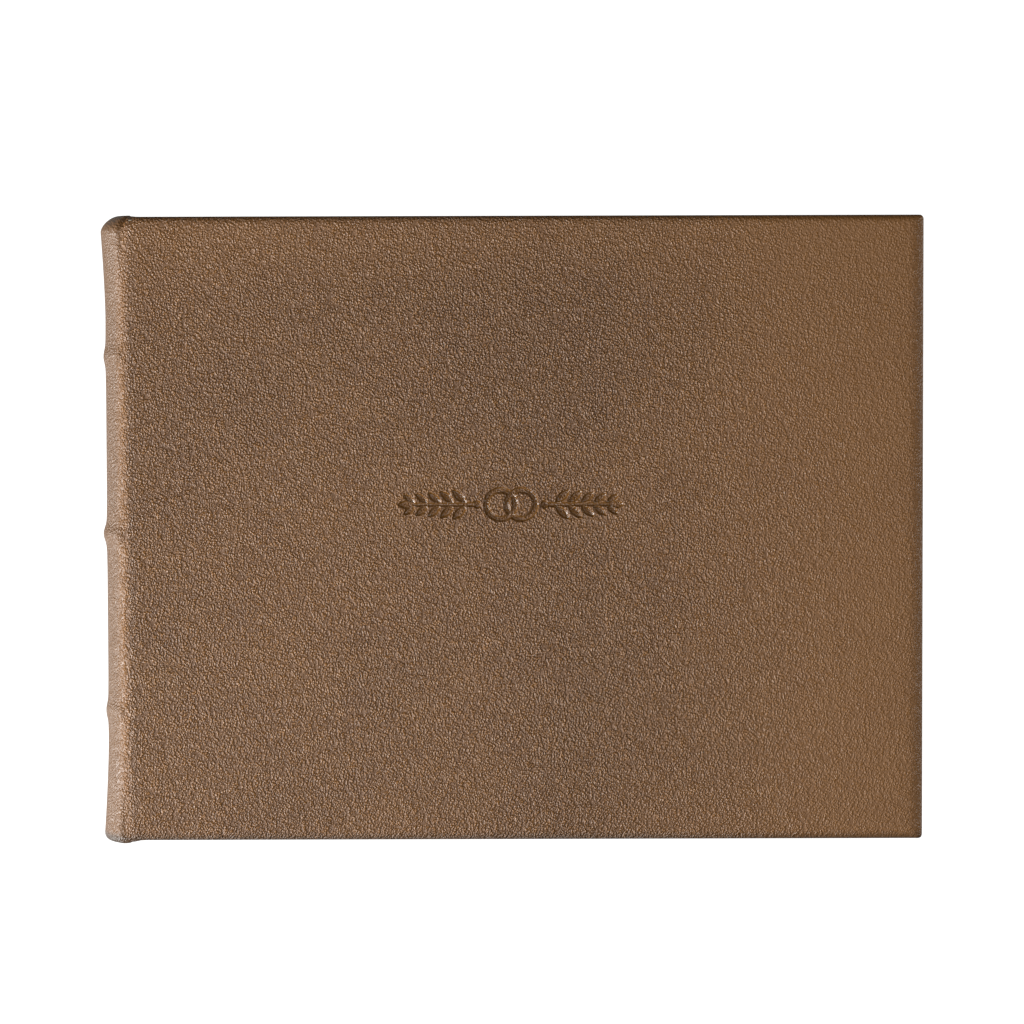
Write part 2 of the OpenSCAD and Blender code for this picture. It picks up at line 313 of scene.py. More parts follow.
def paper_material(name, tint, ruled=False, rest=False):
    """Uncoated paper: short fibres and a faint cloud in the tint. Guest leaves carry pale ruled lines."""
    n = Nodes(name)
    p = n.rest_mm() if rest else n.object_mm()
    cloud = n.noise(p, 0.05, 3.0)
    fibre = n.noise(n.scaled(p, (0.6, 2.4, 4.0)), 1.6, 4.0, 0.65)
    light, dark = tint
    base = n.mix(n.remap(fibre, 0.3, 0.7, 0.0, 0.6), light, dark)
    base = n.mix(n.remap(cloud, 0.35, 0.65, 0.0, 0.35), base, dark)
    if ruled:
        base = n.mix(n.times(ruled_lines(n, p), 0.75), base, color(0.42, 0.33, 0.24))
    n.set(Base_Color=base, Roughness=0.82, IOR=1.4)
    n.set(Normal=n.bump(fibre, 0.00003, 0.6))
    return n.mat


def page_edge_material(name, rest=False):
    """The trimmed edges of the leaves: a line for each leaf, and a little handling dirt."""
    n = Nodes(name)
    p = n.rest_mm() if rest else n.object_mm()
    leaf = n.noise(n.scaled(p, (0.02, 0.02, 1.0)), 5.5, 3.0, 0.75)
    fibre = n.noise(n.scaled(p, (0.5, 0.5, 3.0)), 2.0, 4.0, 0.65)
    worn = n.noise(p, 0.12, 4.0, 0.6)
    base = n.mix(n.remap(leaf, 0.34, 0.62, 0.0, 1.0), color(0.34, 0.265, 0.165), color(0.74, 0.65, 0.50))
    base = n.mix(n.remap(fibre, 0.35, 0.7, 0.0, 0.4), base, color(0.62, 0.54, 0.40))
    base = n.mix(n.remap(worn, 0.5, 0.75, 0.0, 0.35), base, color(0.55, 0.45, 0.31))
    n.set(Base_Color=base, Roughness=0.8, IOR=1.4)
    n.set(Normal=n.bump(leaf, 0.00006, 0.9))
    return n.mat


def board_material():
    """Grey binder's board: pressed flakes and fibres."""
    n = Nodes("greyboard")
    p = n.object_mm()
    flake = n.noise(p, 0.9, 5.0, 0.7)
    fleck = n.add("ShaderNodeTexVoronoi", {"Vector": p, "Scale": 1.3}).outputs["Distance"]
    base = n.mix(n.remap(flake, 0.3, 0.7, 0.0, 1.0), color(0.26, 0.23, 0.19), color(0.42, 0.38, 0.31))
    base = n.mix(n.remap(fleck, 0.05, 0.2, 0.5, 0.0), base, color(0.14, 0.11, 0.08))
    n.set(Base_Color=base, Roughness=0.9, Normal=n.bump(flake, 0.0001, 0.7))
    return n.mat


def kraft_material():
    """Brown wrapping paper with long fibres."""
    n = Nodes("kraft_paper")
    fibre = n.noise(n.scaled(n.object_mm(), (1.0, 0.15, 1.0)), 2.2, 5.0, 0.7)
    base = n.mix(n.remap(fibre, 0.3, 0.7, 0.0, 1.0), color(0.30, 0.20, 0.11), color(0.47, 0.34, 0.20))
    n.set(Base_Color=base, Roughness=0.85, Normal=n.bump(fibre, 0.00005, 0.7))
    return n.mat


def weave_material(name, pitch, dark, light, depth):
    """An open plain weave: two crossed sets of threads along Y and round the back."""
    n = Nodes(name)
    p = n.object_mm()
    _, y, z = n.split(p)
    k = 2 * math.pi / pitch
    warp = n.math("SINE", n.times(y, k))
    weft = n.math("SINE", n.times(z, k))
    over = n.times(n.math("SINE", n.times(y, k / 2)), n.math("SINE", n.times(z, k / 2)))
    h = n.math("ADD", n.math("MAXIMUM", warp, weft), over)
    f = n.remap(h, -1.0, 2.0, 0.0, 1.0)
    fuzz = n.noise(p, 3.0, 3.0, 0.6)
    base = n.mix(f, dark, light)
    base = n.mix(n.remap(fuzz, 0.4, 0.7, 0.0, 0.3), base, dark)
    n.set(Base_Color=base, Roughness=0.9, Normal=n.bump(f, depth, 0.9))
    return n.mat


def twist_material(name, pitch, dark, light, depth, axis="y"):
    """Twisted strands: ridges that wind round the thread or cord."""
    n = Nodes(name)
    p = n.object_mm()
    x, y, z = n.split(p)
    run, across = (y, z) if axis == "y" else (z, x)
    k = 2 * math.pi / pitch
    w = n.math("SINE", n.math("ADD", n.times(run, k), n.times(across, k * 0.8)))
    f = n.remap(w, -1.0, 1.0, 0.0, 1.0)
    fuzz = n.noise(p, 4.0, 3.0, 0.6)
    base = n.mix(f, dark, light)
    base = n.mix(n.remap(fuzz, 0.4, 0.7, 0.0, 0.35), base, dark)
    n.set(Base_Color=base, Roughness=0.8, Normal=n.bump(f, depth, 0.9))
    return n.mat


def silk_material(name, dark, light):
    """Silk thread: long shining fibres."""
    n = Nodes(name)
    fibre = n.noise(n.scaled(n.object_mm(), (4.0, 4.0, 0.8)), 3.0, 4.0, 0.6)
    base = n.mix(n.remap(fibre, 0.3, 0.7, 0.0, 1.0), dark, light)
    n.set(Base_Color=base, Roughness=0.42, Normal=n.bump(fibre, 0.00003, 0.6), Sheen_Weight=0.3)
    return n.mat


CREAM = (color(0.62, 0.54, 0.41), color(0.54, 0.46, 0.33))
IVORY = (color(0.70, 0.64, 0.52), color(0.62, 0.56, 0.44))
LEATHER = leather_material("leather")
ENDPAPER = paper_material("endpaper", CREAM)
ENDPAPER_BENT = paper_material("endpaper_bent", CREAM, rest=True)
LEAF = paper_material("leaf_paper", IVORY)
LEAF_RULED = paper_material("leaf_ruled", IVORY, ruled=True, rest=True)
PAGE_EDGE = page_edge_material("page_edge")
PAGE_EDGE_BENT = page_edge_material("page_edge_bent", rest=True)
BOARD = board_material()
KRAFT = kraft_material()
MULL = weave_material("mull_cloth", 0.9, color(0.42, 0.38, 0.30), color(0.78, 0.75, 0.66), 0.00012)
TAPE = weave_material("linen_tape", 0.5, color(0.55, 0.51, 0.42), color(0.84, 0.81, 0.72), 0.00008)
THREAD = twist_material("linen_thread", 0.6, color(0.50, 0.44, 0.33), color(0.86, 0.82, 0.70), 0.00004)
CORD = twist_material("hemp_cord", 1.6, color(0.30, 0.22, 0.12), color(0.66, 0.55, 0.37), 0.00015, axis="z")
SILK_GOLD = silk_material("silk_gold", color(0.30, 0.15, 0.045), color(0.50, 0.29, 0.10))
SILK_CREAM = silk_material("silk_cream", color(0.60, 0.53, 0.38), color(0.86, 0.80, 0.64))

# ---------------------------------------------------------------- the hide: its edges, corners and back

# Rings run round a cover's free sides, from the flat face outwards, over the edge, under and in again.
ROLL = 9  # rings over the rounded edge
EDGE_ROUND = {"head": 2.2, "tail": 3.3, "fore": 4.4}  # how far in from each side the rounding begins
ROLL_DROP = {"head": 1.9, "tail": 2.5, "fore": 1.9}  # how deep the rounding goes
WALL_STEPS = [(0.0, 0.5), (0.05, 0.8), (0.22, 0.96), (0.6, 1.0)]  # (inset, share of the way down) of the wall
UNDER_INSETS = (1.6, 3.4, 8.0, TURN_W)
PLAN_R = 1.4  # of a cover's corners
CURL_R = 0.62  # of a cap's lip, where the leather curls in


def edge_rings(side):
    """One side's rings: [(inset, depth, inner inset, inner depth)]."""
    length, drop = EDGE_ROUND[side], ROLL_DROP[side]
    rings = []
    for i in range(ROLL + 1):
        a = math.pi / 2 * i / ROLL
        u = math.sin(a) ** 0.9
        d = 1 - math.sqrt(max(0.0, 1 - u**2.1))
        inset = length * (1 - u)
        rings.append((inset, drop * d, max(inset, SKIN) + 0.02 * (ROLL - i), SKIN + 0.02 * i))
    for inset, t in WALL_STEPS:
        depth = lerp(drop, UNDER, t)
        rings.append((inset, depth, max(SKIN, inset), min(depth, UNDER - TURN_T)))
    for inset in UNDER_INSETS:
        rings.append((inset, UNDER, max(SKIN, inset), UNDER - TURN_T))
    return rings


WALL_RING = ROLL + 1  # the outermost ring
RINGS = {side: edge_rings(side) for side in EDGE_ROUND}
K = len(RINGS["head"]) - 1


def cap_rings(cap):
    """The same number of rings over a cap: [(y, depth, inner y, inner depth)]."""
    peak = CAP_Y - cap["turn"]
    end = CAP_Y + cap["proud"]
    turn, depth, flare = end - peak, cap["depth"], cap["flare"]
    rings = []
    for i in range(K + 1):
        if i <= WALL_RING:
            a = math.pi / 2 * i / WALL_RING
            up, away = math.sin(a) ** (2 / cap["power"]), 1 - math.cos(a) ** (2 / cap["power"])
            rings.append((peak + turn * up, depth * away - flare,
                          peak + (turn - SKIN) * up, SKIN - flare + (depth - SKIN) * away))
        else:
            t = (i - WALL_RING) / (K - WALL_RING)
            rings.append((end - CURL_R * t**1.5, depth - flare + CURL_R * math.sin(math.pi / 2 * t),
                          end - SKIN - 0.05 * t, depth - flare + 0.55 * t))
    return rings


CAPS = {"head": cap_rings(HEAD), "tail": cap_rings(TAIL)}


def tented(y):
    """How far the bands lift the leather: a rounded crown that falls away like a tent."""
    lift = 0.0
    for band, rise in zip(BANDS, BAND_RISE):
        t = abs(y - band)
        lift = max(lift, rise * (math.exp(-((t / 2.35) ** 2.2)) * 0.8 + math.exp(-((t / 6.0) ** 2)) * 0.2))
    return lift


def swell(y):
    """How far the back stands out towards a cap."""
    cap = HEAD if y > 0 else TAIL
    peak = CAP_Y - cap["turn"]
    return cap["flare"] * clamp((abs(y) - SWELL_Y) / (peak - SWELL_Y), 0.0, 1.0) ** SWELL_POWER


def back_point(a, depth, y, out):
    """A point of the back where its normal is a degrees above -X. The lift, out, fades over the shoulder."""
    if a < BACK_A:
        cx, cz, r = BACK_X, 0.0, BACK_R
    else:
        cx, cz, r = HINGE, HALF_RISE, SHOULDER_R
    fade = smooth((90 - a) / (90 - BACK_A)) ** 3
    r += fade * out - depth
    t = math.radians(a)
    return (cx - r * math.cos(t), y, MID + cz + r * math.sin(t))


def corner_xy(ring, t, sy, fore_side):
    """A point of a cover's corner on one ring: t is 0 where the straight side ends and 1 on the diagonal."""
    rx, ry = RINGS["fore"], RINGS["head" if sy > 0 else "tail"]
    k = min(ring, WALL_RING)
    x0, y0 = FORE - rx[0][0], EDGE_Y - ry[0][0]
    bx, by = FORE - rx[k][0] - x0, EDGE_Y - ry[k][0] - y0
    if bx <= 0 or by <= 0:
        return x0, sy * y0
    u, v = (1.0, t) if fore_side else (t, 1.0)
    rad = PLAN_R * (k / WALL_RING)
    px, py = u * bx, v * by
    cx, cy = bx - rad, by - rad
    if px > cx and py > cy and rad > 0:
        # on the ray from the corner's inner end, out to the rounded outline
        lo_k, hi_k = 0.0, 1.0
        for _ in range(24):
            m = (lo_k + hi_k) / 2
            qx, qy = px * m, py * m
            inside = not (qx > cx and qy > cy) or math.hypot(qx - cx, qy - cy) <= rad
            lo_k, hi_k = (m, hi_k) if inside else (lo_k, m)
        px, py = px * lo_k, py * lo_k
    return x0 + px, sy * (y0 + py)


# The tooled ornament
ORN = {"x": 32.4, "y0": 1.2, "y1": 12.9}  # half its field's width, and the field's lower and upper sides
ORN_Y = (ORN["y0"] + ORN["y1"]) / 2
RING_R, RING_X, STROKE = 4.1, 2.9, 0.66  # the rings' radius, half their distance, half the line's width
STEM = (10.4, 29.0)  # where a sprig's stem begins and ends
BEAD_X, BEAD_R = 9.6, 0.95  # the bead at its inner end
TIP_X = 29.7  # the middle of the leaf at its outer end
LEAF_PAIRS, PAIR_X, PAIR_PITCH = 5, 12.6, 3.65
PRESS_DEPTH = 0.55


def vesica(px, py, cx, cy, ang, half_l, half_w):
    """Signed distance to a pointed leaf shape."""
    c, s = math.cos(ang), math.sin(ang)
    x, y = px - cx, py - cy
    u, v = np.abs(x * c + y * s), np.abs(-x * s + y * c)
    r = (half_l**2 + half_w**2) / (2 * half_w)
    d = r - half_w
    side = np.hypot(u, v + d) - r
    point = np.hypot(u - half_l, v)
    return np.where((v + d) * half_l > d * u, side, point)


def ornament(px, py):
    """Signed distance to the tooled ornament: two linked rings between two sprigs."""
    y = py - ORN_Y
    d = np.full(px.shape, FAR)
    for s in (-1, 1):
        d = np.minimum(d, np.abs(np.hypot(px - s * RING_X, y) - RING_R) - STROKE)
        x = px * s
        taper = 0.52 - 0.22 * np.clip((x - STEM[0]) / 19.0, 0, 1)
        stem = np.where((x > STEM[0]) & (x < STEM[1]), np.abs(y) - taper, FAR)
        d = np.minimum(d, stem)
        d = np.minimum(d, vesica(x, y, TIP_X, 0.0, 0.0, 2.3, 0.95))
        d = np.minimum(d, np.hypot(x - BEAD_X, y) - BEAD_R)
        for i in range(LEAF_PAIRS):
            size = 1.0 - 0.07 * i
            half_l, half_w = 2.5 * size, 0.98 * size
            for v in (-1, 1):
                ang = v * math.radians(44 - 2 * i)
                cx = PAIR_X + PAIR_PITCH * i + half_l * math.cos(ang) + 0.25
                cy = v * (half_l * math.sin(abs(ang)) + 0.55)
                d = np.minimum(d, vesica(x, y, cx, cy, ang, half_l, half_w))
    return d


def pressed(px, py):
    """How deep the tool has pressed the leather, and how far it has burnished it; the leather material also
    darkens by this mask, partly as the tool's own darkening and partly as painted shade.
    """
    d = ornament(px, py)
    t = np.clip((0.22 - d) / 0.62, 0, 1)
    lip = np.exp(-((d - 0.45) / 0.3) ** 2) * 0.05
    shine = np.exp(-(np.abs(d + 0.09) / 0.34) ** 4)
    return PRESS_DEPTH * (0.7 * t + 0.3 * t * t * (3 - 2 * t)) - lip * (d > 0), shine


# The hide is a grid of columns and rows, each a (kind, value) pair. Columns: ("a", degrees) over the back,
# ("x", X) over the cover and ("e", ring) over the fore edge. Rows: ("y", Y) between the ends, and ("h", ring)
# and ("t", ring) over the head and the tail.
Y_TAIL, Y_HEAD = -(EDGE_Y - RINGS["tail"][0][0]), EDGE_Y - RINGS["head"][0][0]
JOINT_STEPS = (0, 0.1, 0.22, 0.36, 0.52, 0.8, 1.3, 2.2, 3.6, 5.5, 8.0)
JOINT_SHARE = 0.45  # how far a column at the hinge line follows the cover and not the back
BAND_REACH = 6  # the rows are fine this far either side of a band


def steps(a, b, size):
    """Even steps of about a size, from a up to but not including b."""
    n = max(1, round(abs(b - a) / size))
    return [a + (b - a) * i / n for i in range(n)]


def hide_columns():
    angles = [BACK_A * i / 12 for i in range(12)]
    angles += [BACK_A + (84 - BACK_A) * i / 14 for i in range(14)] + [84, 86, 87.5, 88.8]
    x_end = FORE - RINGS["fore"][0][0]
    flat = steps(HINGE + 11, -ORN["x"], 5.0) + steps(-ORN["x"], ORN["x"], 4.05)
    flat += steps(ORN["x"], x_end, 5.0) + [x_end]
    cols = [("a", a) for a in angles] + [("x", HINGE + d) for d in JOINT_STEPS]
    return cols + [("x", v) for v in flat] + [("e", k) for k in range(1, K + 1)]


def hide_rows():
    ys = steps(Y_TAIL, -SWELL_Y, 1.3)
    upwards = sorted(BANDS)
    at = -SWELL_Y
    for band in upwards:
        ys += steps(at, band - BAND_REACH, 4.0) + steps(band - BAND_REACH, band + BAND_REACH, 0.5)
        at = band + BAND_REACH
        if band == upwards[1]:
            ys += steps(at, ORN["y1"], 4.0)
            at = ORN["y1"]
    ys += steps(at, SWELL_Y, 4.0) + steps(SWELL_Y, Y_HEAD, 1.3) + [Y_HEAD]
    fixed = (ORN["y0"], ORN["y1"])
    ys = sorted(set([round(v, 4) for v in ys] + list(fixed)))
    ys = [v for i, v in enumerate(ys) if i == 0 or v - ys[i - 1] > 0.12 or v in fixed]
    tail, head = [("t", k) for k in range(K, 0, -1)], [("h", k) for k in range(1, K + 1)]
    return tail + [("y", v) for v in ys] + head


def spine_y(v):
    """Where a row of the cover lies on the back, stretched so that the last meets the cap's rounding."""
    if abs(v) <= SWELL_Y:
        return v
    cap, end = (HEAD, Y_HEAD) if v > 0 else (TAIL, -Y_TAIL)
    peak = CAP_Y - cap["turn"]
    return math.copysign(lerp(SWELL_Y, peak, (abs(v) - SWELL_Y) / (end - SWELL_Y)), v)


def at_back(a, row, inner):
    """A point of the back, a degrees above -X."""
    kind, v = row
    if kind == "y":
        y = spine_y(v)
        return back_point(a, SKIN if inner else 0.0, y, swell(y) + tented(y))
    s, cap, rings = (1, HEAD, CAPS["head"]) if kind == "h" else (-1, TAIL, CAPS["tail"])
    y, depth = rings[v][2:] if inner else rings[v][:2]
    # towards the joint the cap's depth is kept, and its flare fades
    return back_point(a, depth + cap["flare"], s * y, cap["flare"])


def at_cover(col, row, inner):
    """A point of the cover's leather."""
    ck, cv = col
    rk, rv = row
    rx = RINGS["fore"]
    if ck == "x" and rk == "y":
        return (cv, rv, TOP - (SKIN if inner else 0.0))
    if rk == "y":
        ring = rx[cv]
        inset, depth = ring[2:] if inner else ring[:2]
        limit = EDGE_Y - inset if (cv > WALL_RING or inner) else FAR
        return (FORE - inset, clamp(rv, -limit, limit), TOP - depth)
    sy, ry = (1, RINGS["head"]) if rk == "h" else (-1, RINGS["tail"])
    if ck == "x":
        ring = ry[rv]
        inset, depth = ring[2:] if inner else ring[:2]
        limit = FORE - inset if (rv > WALL_RING or inner) else FAR
        return (min(cv, limit), sy * (EDGE_Y - inset), TOP - depth)
    # a corner: the ring runs up the fore edge to the diagonal, and from there along the head or tail
    k = max(cv, rv)
    fore_side = cv >= rv
    t = (rv if fore_side else cv) / k
    x, y = corner_xy(k, t, sy, fore_side)
    ring = rx[k] if fore_side else ry[k]
    depth = lerp(ring[1], (rx[k][1] + ry[k][1]) / 2, t)
    if inner or k > WALL_RING:
        inset = ring[2] if inner else ring[0]
        x, y = min(x, FORE - inset), sy * min(abs(y), EDGE_Y - inset)
    return (x, y, TOP - (ring[3] if inner else depth))


def hide_point(col, row, inner):
    """A point of the hide. Near the joint the back and the cover's edge run into each other."""
    if col[0] == "a":
        a = col[1]
        p = at_back(a, row, inner)
        w = smooth((a - 62) / (90 - 62)) * JOINT_SHARE
        if w > 0 and row[0] != "y":
            q = at_cover(("x", HINGE), row, inner)
            r = SHOULDER_R - (TOP - q[2])
            arc = max(r, 0.2)
            t = math.radians(a)
            q = (HINGE - arc * math.cos(t), q[1], MID + HALF_RISE + arc * math.sin(t) - (arc - r))
            p = tuple(lerp(p[i], q[i], w) for i in range(3))
        elif w > 0:
            p = (p[0], lerp(p[1], row[1], w), p[2])
        return p
    q = at_cover(col, row, inner)
    if col[0] == "x":
        w = JOINT_SHARE + (1 - JOINT_SHARE) * smooth((col[1] - HINGE) / 3.0)
        if w < 1:
            p = at_back(90.0, row, inner)
            q = (q[0], lerp(p[1], q[1], w), lerp(p[2], q[2], w) if row[0] != "y" else q[2])
    return q


def refined(marks, first, size):
    """Fine lines from mark to mark, and which of them are marks, numbered from first."""
    lines, coarse = [], {}
    for i in range(len(marks) - 1):
        coarse[len(lines)] = first + i
        lines += steps(marks[i], marks[i + 1], size)
    coarse[len(lines)] = first + len(marks) - 1
    return lines + [marks[-1]], coarse


def hide(name, front):
    """One cover's leather with its half of the back, as a closed sheet. The back cover's is turned over."""
    cols, rows = hide_columns(), hide_rows()
    nc, nr = len(cols), len(rows)
    outer = np.array([[hide_point(c, r, False) for r in rows] for c in cols])
    inner = np.array([[hide_point(c, r, True) for r in rows] for c in cols])
    verts = list(map(tuple, outer.reshape(-1, 3))) + list(map(tuple, inner.reshape(-1, 3)))
    burnish_and_shade = [0.0] * len(verts)
    ident = lambda i, j: i * nr + j
    faces = []
    # the fine patch that carries the ornament is sewn into a hole in the flat face
    patch = {}
    c0 = c1 = r0 = r1 = -1  # the columns and rows that bound the hole
    if front:
        c0 = next(i for i, c in enumerate(cols) if c[0] == "x" and abs(c[1] + ORN["x"]) < 1e-6)
        c1 = next(i for i, c in enumerate(cols) if c[0] == "x" and abs(c[1] - ORN["x"]) < 1e-6)
        r0, r1 = rows.index(("y", ORN["y0"])), rows.index(("y", ORN["y1"]))
        fine = 0.16
        xs, xi = refined([c[1] for c in cols[c0:c1 + 1]], c0, fine)
        ys, yi = refined([r[1] for r in rows[r0:r1 + 1]], r0, fine)
        gx, gy = np.meshgrid(np.array(xs), np.array(ys), indexing="ij")
        down, shine = pressed(gx, gy)
        down[0, :] = down[-1, :] = 0
        down[:, 0] = down[:, -1] = 0
        for i in range(len(xs)):
            for j in range(len(ys)):
                rim = i in (0, len(xs) - 1) or j in (0, len(ys) - 1)
                # the coarse grid's own vertices are used where both meet
                if rim and i in xi and j in yi:
                    patch[i, j] = ident(xi[i], yi[j])
                else:
                    patch[i, j] = len(verts)
                    verts.append((xs[i], ys[j], TOP - down[i, j]))
                    burnish_and_shade.append(shine[i, j])
        for i in range(len(xs) - 1):
            for j in range(len(ys) - 1):
                faces.append((patch[i, j], patch[i + 1, j], patch[i + 1, j + 1], patch[i, j + 1]))
        x_at = {c: f for f, c in xi.items()}
        y_at = {r: f for f, r in yi.items()}
    half = nc * nr
    for i in range(nc - 1):
        for j in range(nr - 1):
            a, b, c, d = ident(i, j), ident(i + 1, j), ident(i + 1, j + 1), ident(i, j + 1)
            faces.append((d + half, c + half, b + half, a + half))
            if c0 <= i < c1 and r0 <= j < r1:
                continue
            loop = [a]
            if front and c0 <= i < c1 and j == r1:
                loop += [patch[f, len(ys) - 1] for f in range(x_at[i] + 1, x_at[i + 1])]
            loop += [b]
            if front and r0 <= j < r1 and i + 1 == c0:
                loop += [patch[0, f] for f in range(y_at[j] + 1, y_at[j + 1])]
            loop += [c]
            if front and c0 <= i < c1 and j + 1 == r0:
                loop += [patch[f, 0] for f in range(x_at[i + 1] - 1, x_at[i], -1)]
            loop += [d]
            if front and r0 <= j < r1 and i == c1:
                loop += [patch[len(xs) - 1, f] for f in range(y_at[j + 1] - 1, y_at[j], -1)]
            faces.append(tuple(loop))
    for i in range(nc - 1):
        a, b = ident(i, 0), ident(i + 1, 0)
        faces.append((a + half, b + half, b, a))
        a, b = ident(i, nr - 1), ident(i + 1, nr - 1)
        faces.append((a, b, b + half, a + half))
    for j in range(nr - 1):
        a, b = ident(0, j), ident(0, j + 1)
        faces.append((a, b, b + half, a + half))
        a, b = ident(nc - 1, j), ident(nc - 1, j + 1)
        faces.append((a + half, b + half, b, a))
    verts = np.array(verts)
    if not front:
        verts[:, 2] = TOP - verts[:, 2]
        faces = [tuple(reversed(f)) for f in faces]
    ob = new_mesh(name, verts, faces, [LEATHER], rest=verts)
    stored = ob.data.attributes.new("burnish_and_shade", "FLOAT", "POINT")
    stored.data.foreach_set("value", np.array(burnish_and_shade, np.float32))
    bm = bmesh.new()
    bm.from_mesh(ob.data)
    bmesh.ops.remove_doubles(bm, verts=bm.verts, dist=1e-7)
    bmesh.ops.dissolve_degenerate(bm, dist=1e-7, edges=bm.edges)
    bm.to_mesh(ob.data)
    bm.free()
    # the two halves of the back meet at its middle, so their normals there are level
    normals = [v.normal.copy() for v in ob.data.vertices]
    for v, n in zip(ob.data.vertices, normals):
        if abs(v.co.z / MM - MID) < 1e-3:
            n.z = 0.0
            n.normalize()
    ob.data.normals_split_custom_set_from_vertices(normals)
    return ob


front_hide = hide("front_hide", True)
back_hide = hide("back_hide", False)
for ob, body, node, axis in (
    (front_hide, "front_cover", "front_cover_leather", FRONT_AXIS),
    (back_hide, "back_cover", "back_cover_leather", BACK_AXIS),
):
    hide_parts(node, "spine_leather")
    z = axis[2] * MM
    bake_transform(ob)

# ---------------------------------------------------------------- paper


FACE, EDGE = 0, 1  # a sheet's two materials
SHEET_GAP = 0.012  # air between sheets
SHEET_T = LEAF_T - SHEET_GAP
CROSS_ROWS = [-60, -30, 0, 30, 60]
END_GAP = 0.01  # a leaf that bends ends this far inside the block


def strip(name, paths, thick, mats, ys=()):
    """Sheets of paper: each path is a list of (x, z) with the (y0, y1) that it runs between."""
    verts, faces, fm = [], [], []
    for path, (ya, yb) in paths:
        pts = np.array(path, float)
        tan = np.gradient(pts, axis=0)
        tan /= np.maximum(np.linalg.norm(tan, axis=1, keepdims=True), 1e-9)
        nor = np.stack([-tan[:, 1], tan[:, 0]], 1)
        up, dn = pts + nor * thick / 2, pts - nor * thick / 2
        yy = [ya] + [v for v in ys if ya < v < yb] + [yb]
        n, m, base = len(pts), len(yy), len(verts)
        for y in yy:
            verts += [(u[0], y, u[1]) for u in up]
        for y in yy:
            verts += [(d[0], y, d[1]) for d in dn]
        top = lambda i, j: base + j * n + i
        bot = lambda i, j: base + m * n + j * n + i
        for j in range(m - 1):
            for i in range(n - 1):
                faces.append((top(i, j), top(i, j + 1), top(i + 1, j + 1), top(i + 1, j)))
                faces.append((bot(i, j), bot(i + 1, j), bot(i + 1, j + 1), bot(i, j + 1)))
                fm += [FACE] * 2
            faces.append((top(0, j), bot(0, j), bot(0, j + 1), top(0, j + 1)))
            faces.append((top(n - 1, j), top(n - 1, j + 1), bot(n - 1, j + 1), bot(n - 1, j)))
            fm += [EDGE] * 2
        for i in range(n - 1):
            faces.append((top(i, 0), top(i + 1, 0), bot(i + 1, 0), bot(i, 0)))
            faces.append((top(i, m - 1), bot(i, m - 1), bot(i + 1, m - 1), top(i + 1, m - 1)))
            fm += [EDGE] * 2
    ob = new_mesh(name, verts, faces, mats, fm, rest=verts)
    ob.data.polygons.foreach_set("use_smooth", [m == FACE for m in fm])
    ob.data.set_sharp_from_angle(angle=math.radians(50))
    return ob


def fan(j):
    """How far above the middle the line between signatures j and j + 1 meets the folds."""
    return FAN_Z * (1 - 2 * j / SIGNATURES)


def fold_x(r, dz):
    """X of an arc of radius r round the back's centre, dz above the middle."""
    return BACK_X - math.sqrt(r * r - dz * dz)


SQUARE = 3.0  # how far the covers stand past the leaves
LEAF_W = FORE - SQUARE - fold_x(FOLD_R, fan(0.5))
FOLD_PITCH = 2 * FAN_Z / SIGNATURES  # from one signature's fold to the next
FOLD_FILL = 0.93  # the share of it that the sheets take up


def approach(x1, z1, nose, normal_in, count=7):
    """A smooth run from the flat leaf at (x1, z1) to a point of the fold."""
    reach = x1 - nose[0]
    out = []
    for i in range(1, count + 1):
        t = i / count
        h00, h10 = 2 * t**3 - 3 * t**2 + 1, t**3 - 2 * t**2 + t
        h01, h11 = -2 * t**3 + 3 * t**2, t**3 - t**2
        m0, m1 = (-reach, 0.0), (normal_in[0] * reach, normal_in[1] * reach)
        out.append((h00 * x1 + h10 * m0[0] + h01 * nose[0] + h11 * m1[0],
                    h00 * z1 + h10 * m0[1] + h01 * nose[1] + h11 * m1[1]))
    return out


def leaf_path(sig, leaf, flat_z, fore):
    """From the fore edge to the middle of the fold: leaf 0 is the signature's first, 7 its last."""
    m = leaf if leaf < 4 else 7 - leaf  # 0 is the outer sheet
    share = (3.5 - leaf) / LEAVES
    dz_mid = fan(sig - 0.5)
    dz = dz_mid + share * FOLD_PITCH * FOLD_FILL
    r = FOLD_R - 0.42 - m * 0.01  # the inner sheets' folds lie deeper
    nose = (fold_x(r, dz), MID + dz)
    away = np.array([nose[0] - BACK_X, dz])
    away = away / np.linalg.norm(away)
    x1 = WALL + 3.0  # the leaf is flat from here
    path = [(fore, flat_z), (x1 + 30, flat_z), (x1, flat_z)]
    path += approach(x1, flat_z, nose, away)
    half = abs(share) * FOLD_PITCH * FOLD_FILL
    depth = min(0.36, half) if m < 3 else min(0.12, half)
    side = 1 if share > 0 else -1
    cx, cz = fold_x(r, dz_mid), MID + dz_mid
    axis = np.array([cx - BACK_X, dz_mid])
    axis = axis / np.linalg.norm(axis)
    perp = np.array([-axis[1], axis[0]])
    if perp[1] * side < 0:
        perp = -perp
    depth *= 1.0 if m == 0 else 0.92 - 0.15 * m
    for i in range(1, 5):
        a = math.pi / 2 * i / 4
        q = np.array([cx, cz]) + perp * half * math.cos(a) + axis * depth * math.sin(a)
        path.append((float(q[0]), float(q[1])))
    return path


